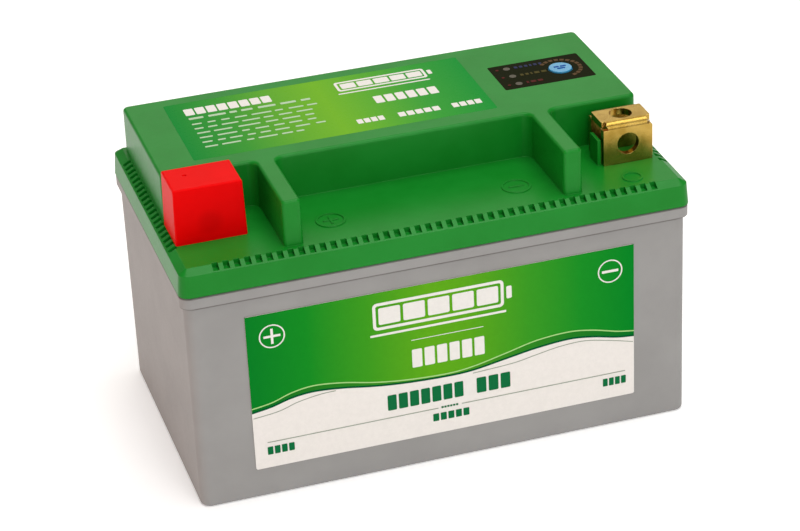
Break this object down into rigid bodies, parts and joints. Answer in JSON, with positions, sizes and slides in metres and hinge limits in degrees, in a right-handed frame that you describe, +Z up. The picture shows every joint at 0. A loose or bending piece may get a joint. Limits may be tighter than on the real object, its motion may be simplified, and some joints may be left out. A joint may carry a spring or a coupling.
{
  "type": "motorcycle battery",
  "caption": "Sealed lithium starter battery: grey case, green lid with a raised block, red pull-off positive cap, bent brass terminals and a charge indicator with a test button.",
  "frame": {"origin": "centre of the underside of the case", "axes": "+X along the front from the positive to the negative terminal, +Y from the front to the back, +Z up"},
  "size_m": [0.15, 0.087, 0.0931],
  "materials": {
    "case_plastic": "satin moulded grey plastic with a fine sparked grain",
    "lid_plastic": "semi-gloss moulded green plastic",
    "cover_plastic": "semi-gloss soft red plastic",
    "terminal_brass": "pressed brass with sheared edges",
    "seal_rubber": "black sealing rubber",
    "copper": "bare copper strip",
    "screw_steel": "zinc plated steel",
    "frame_plastic": "black glass-filled plastic",
    "cell_can": "aluminium can in a blue film",
    "foam": "closed-cell packing foam",
    "circuit_board": "glass-epoxy board with green resist",
    "chip_plastic": "moulded black component bodies",
    "wire_red": "red insulated wire",
    "wire_black": "black insulated wire",
    "led_lens": "diffused clear lamp body",
    "front_print": "gloss printed film, off-white with a green field",
    "top_print": "gloss printed film, green fading to yellow-green",
    "panel_film": "dark brown overlay film",
    "button_plastic": "blue button",
    "switch_plastic": "black switch body"
  },
  "bodies": {
    "root": {"balance_board": "circuit_board", "balance_chips": "chip_plastic", "balance_resistors": "chip_plastic", "base_pad": "foam", "board_screws": "screw_steel", "case": "case_plastic", "cell_1": "cell_can", "cell_2": "cell_can", "cell_3": "cell_can", "cell_4": "cell_can", "cell_frame": "frame_plastic", "cell_link_1": "copper", "cell_link_2": "copper", "cell_link_3": "copper", "cell_screws": "screw_steel", "charge_led_1": "led_lens", "charge_led_2": "led_lens", "charge_led_3": "led_lens", "controller_chip": "chip_plastic", "end_foam_left": "foam", "end_foam_right": "foam", "front_label": "front_print", "indicator_board": "circuit_board", "indicator_panel": "panel_film", "indicator_screws": "screw_steel", "indicator_wire_minus": "wire_black", "indicator_wire_plus": "wire_red", "led_resistors": "chip_plastic", "lid": "lid_plastic", "negative_seal": "seal_rubber", "negative_strap": "copper", "negative_terminal": "terminal_brass", "positive_seal": "seal_rubber", "positive_strap": "copper", "positive_terminal": "terminal_brass", "sense_wire_1": "wire_red", "sense_wire_2": "wire_black", "sense_wire_3": "wire_black", "sense_wire_4": "wire_black", "sense_wire_5": "wire_red", "separator_pad_1": "foam", "separator_pad_2": "foam", "separator_pad_3": "foam", "side_foam_back": "foam", "side_foam_front": "foam", "strap_nuts": "screw_steel", "strap_screws": "screw_steel", "tactile_switch": "switch_plastic", "top_label": "top_print"},
    "cover": {"positive_cover": "cover_plastic"},
    "button": {"test_button": "button_plastic", "switch_plunger": "switch_plastic"}
  },
  "joints": [
    {"name": "cover_lift", "type": "slide", "parent": "root", "child": "cover", "axis": [0, 0, 1], "range_m": [0, 0.035]},
    {"name": "button_press", "type": "slide", "parent": "root", "child": "button", "axis": [0, 0, -1], "range_m": [0, 0.0004], "stiffness_N_per_m": 1500}
  ]
}
